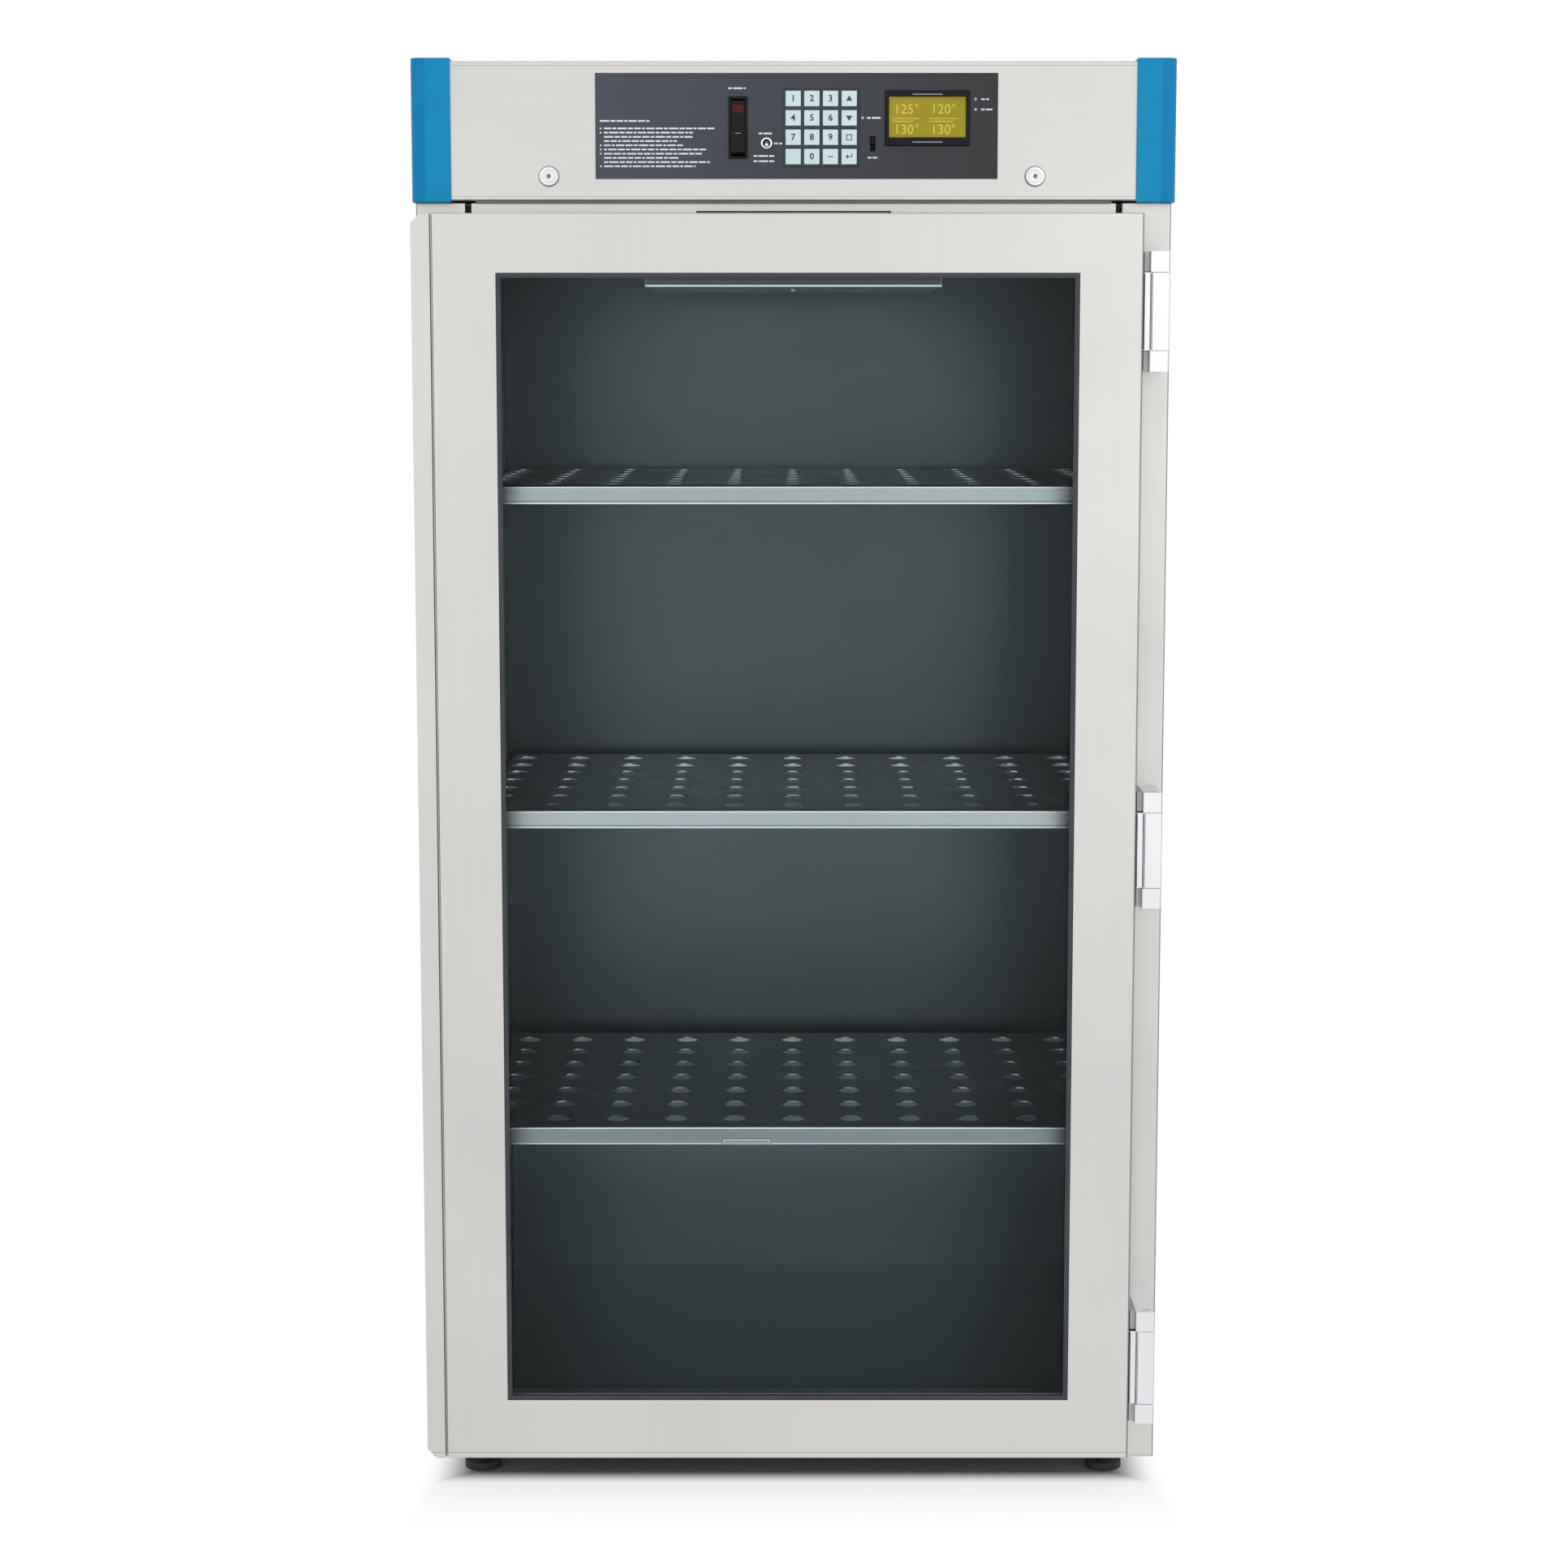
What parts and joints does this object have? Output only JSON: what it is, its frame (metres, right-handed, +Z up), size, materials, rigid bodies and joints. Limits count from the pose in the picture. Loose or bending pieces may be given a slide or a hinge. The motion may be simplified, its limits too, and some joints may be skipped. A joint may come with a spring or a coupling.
{
  "type": "blanket warming cabinet",
  "caption": "Tall stainless cabinet that warms blankets: glazed hinged door with a full-height pull, perforated shelves, fan heater and a keypad header.",
  "frame": {"origin": "on the floor under the middle of the cabinet's whole box", "axes": "+Z up, front (door) towards -Y, hinge side at +X"},
  "size_m": [0.768, 0.61, 1.481],
  "materials": {
    "stainless": "brushed",
    "plain_steel": "mill",
    "chamber_steel": "satin",
    "shelf_steel": "satin",
    "mineral_wool": "fibrous",
    "heater_sheath": "oxidised",
    "motor_casting": "cast",
    "fan_metal": "pressed",
    "blue_plastic": "moulded satin",
    "chrome": "polished",
    "control_plate": "printed film",
    "black_plastic": "moulded",
    "key_plastic": "moulded",
    "display": "backlit",
    "lamp_plastic": "clear moulding",
    "circuit_board": "laminate",
    "foot_plastic": "moulded",
    "glass": "clear",
    "seal": "extruded",
    "gasket": "extruded"
  },
  "bodies": {
    "cabinet": {"side_panels": "stainless", "base_pan": "stainless", "top_rail": "stainless", "top_deck": "plain_steel", "rear_panel": "stainless", "chamber_side_walls": "chamber_steel", "chamber_back_wall": "chamber_steel", "chamber_end_panels": "chamber_steel", "insulation": "mineral_wool", "shelf_pilasters": "chamber_steel", "shelf_clips": "chamber_steel", "shelf_bottom": "shelf_steel", "shelf_middle": "shelf_steel", "shelf_top": "shelf_steel", "air_guard": "shelf_steel", "heating_element": "heater_sheath", "fan_motor": "motor_casting", "temperature_sensors": "heater_sheath", "fascia": "stainless", "header_cover": "stainless", "corner_caps": "blue_plastic", "panel_fasteners": "chrome", "control_plate": "control_plate", "keypad_frame": "black_plastic", "display_bezel": "black_plastic", "display_panel": "display", "switch_housings": "black_plastic", "indicator_lamps": "lamp_plastic", "control_board": "circuit_board", "power_inlet": "black_plastic", "levelling_feet": "foot_plastic", "hinge_brackets": "chrome", "hinge_pins": "chrome"},
    "door": {"door_skin": "stainless", "door_inner_frame": "stainless", "door_glass": "glass", "glazing_seals": "seal", "door_gasket": "gasket", "door_pull": "stainless", "hinge_leaves": "chrome"},
    "fan": {"fan_wheel": "fan_metal"},
    "rocker": {"power_rocker": "black_plastic"},
    "toggle": {"toggle_lever": "chrome"},
    "slide": {"slide_knob": "black_plastic"},
    "key_1_body": {"key_1": "key_plastic"},
    "key_2_body": {"key_2": "key_plastic"},
    "key_3_body": {"key_3": "key_plastic"},
    "key_up_body": {"key_up": "key_plastic"},
    "key_4_body": {"key_4": "key_plastic"},
    "key_5_body": {"key_5": "key_plastic"},
    "key_6_body": {"key_6": "key_plastic"},
    "key_down_body": {"key_down": "key_plastic"},
    "key_7_body": {"key_7": "key_plastic"},
    "key_8_body": {"key_8": "key_plastic"},
    "key_9_body": {"key_9": "key_plastic"},
    "key_set_body": {"key_set": "key_plastic"},
    "key_clear_body": {"key_clear": "key_plastic"},
    "key_0_body": {"key_0": "key_plastic"},
    "key_mode_body": {"key_mode": "key_plastic"},
    "key_enter_body": {"key_enter": "key_plastic"}
  },
  "joints": [
    {"name": "door_swing", "type": "hinge", "parent": "cabinet", "child": "door", "pos_m": [0.3657, -0.296, 0.685], "axis": [0, 0, 1], "range_deg": [0, 110]},
    {"name": "fan_spin", "type": "hinge", "parent": "cabinet", "child": "fan", "pos_m": [0, -0.0725, 1.286], "axis": [0, 0, 1], "continuous": true},
    {"name": "rocker_switch", "type": "hinge", "parent": "cabinet", "child": "rocker", "pos_m": [-0.0557, -0.25853, 1.4121], "axis": [1, 0, 0], "range_deg": [0, 14]},
    {"name": "toggle_switch", "type": "hinge", "parent": "cabinet", "child": "toggle", "pos_m": [-0.0272, -0.2652, 1.3967], "axis": [-1, 0, 0], "range_deg": [0, 24]},
    {"name": "slide_switch", "type": "slide", "parent": "cabinet", "child": "slide", "axis": [0, 0, -1], "range_m": [0, 0.0064]},
    {"name": "key_1_press", "type": "slide", "parent": "cabinet", "child": "key_1_body", "axis": [0, 1, 0], "range_m": [0, 0.0012], "stiffness_N_per_m": 300},
    {"name": "key_2_press", "type": "slide", "parent": "cabinet", "child": "key_2_body", "axis": [0, 1, 0], "range_m": [0, 0.0012], "stiffness_N_per_m": 300},
    {"name": "key_3_press", "type": "slide", "parent": "cabinet", "child": "key_3_body", "axis": [0, 1, 0], "range_m": [0, 0.0012], "stiffness_N_per_m": 300},
    {"name": "key_up_press", "type": "slide", "parent": "cabinet", "child": "key_up_body", "axis": [0, 1, 0], "range_m": [0, 0.0012], "stiffness_N_per_m": 300},
    {"name": "key_4_press", "type": "slide", "parent": "cabinet", "child": "key_4_body", "axis": [0, 1, 0], "range_m": [0, 0.0012], "stiffness_N_per_m": 300},
    {"name": "key_5_press", "type": "slide", "parent": "cabinet", "child": "key_5_body", "axis": [0, 1, 0], "range_m": [0, 0.0012], "stiffness_N_per_m": 300},
    {"name": "key_6_press", "type": "slide", "parent": "cabinet", "child": "key_6_body", "axis": [0, 1, 0], "range_m": [0, 0.0012], "stiffness_N_per_m": 300},
    {"name": "key_down_press", "type": "slide", "parent": "cabinet", "child": "key_down_body", "axis": [0, 1, 0], "range_m": [0, 0.0012], "stiffness_N_per_m": 300},
    {"name": "key_7_press", "type": "slide", "parent": "cabinet", "child": "key_7_body", "axis": [0, 1, 0], "range_m": [0, 0.0012], "stiffness_N_per_m": 300},
    {"name": "key_8_press", "type": "slide", "parent": "cabinet", "child": "key_8_body", "axis": [0, 1, 0], "range_m": [0, 0.0012], "stiffness_N_per_m": 300},
    {"name": "key_9_press", "type": "slide", "parent": "cabinet", "child": "key_9_body", "axis": [0, 1, 0], "range_m": [0, 0.0012], "stiffness_N_per_m": 300},
    {"name": "key_set_press", "type": "slide", "parent": "cabinet", "child": "key_set_body", "axis": [0, 1, 0], "range_m": [0, 0.0012], "stiffness_N_per_m": 300},
    {"name": "key_clear_press", "type": "slide", "parent": "cabinet", "child": "key_clear_body", "axis": [0, 1, 0], "range_m": [0, 0.0012], "stiffness_N_per_m": 300},
    {"name": "key_0_press", "type": "slide", "parent": "cabinet", "child": "key_0_body", "axis": [0, 1, 0], "range_m": [0, 0.0012], "stiffness_N_per_m": 300},
    {"name": "key_mode_press", "type": "slide", "parent": "cabinet", "child": "key_mode_body", "axis": [0, 1, 0], "range_m": [0, 0.0012], "stiffness_N_per_m": 300},
    {"name": "key_enter_press", "type": "slide", "parent": "cabinet", "child": "key_enter_body", "axis": [0, 1, 0], "range_m": [0, 0.0012], "stiffness_N_per_m": 300}
  ]
}
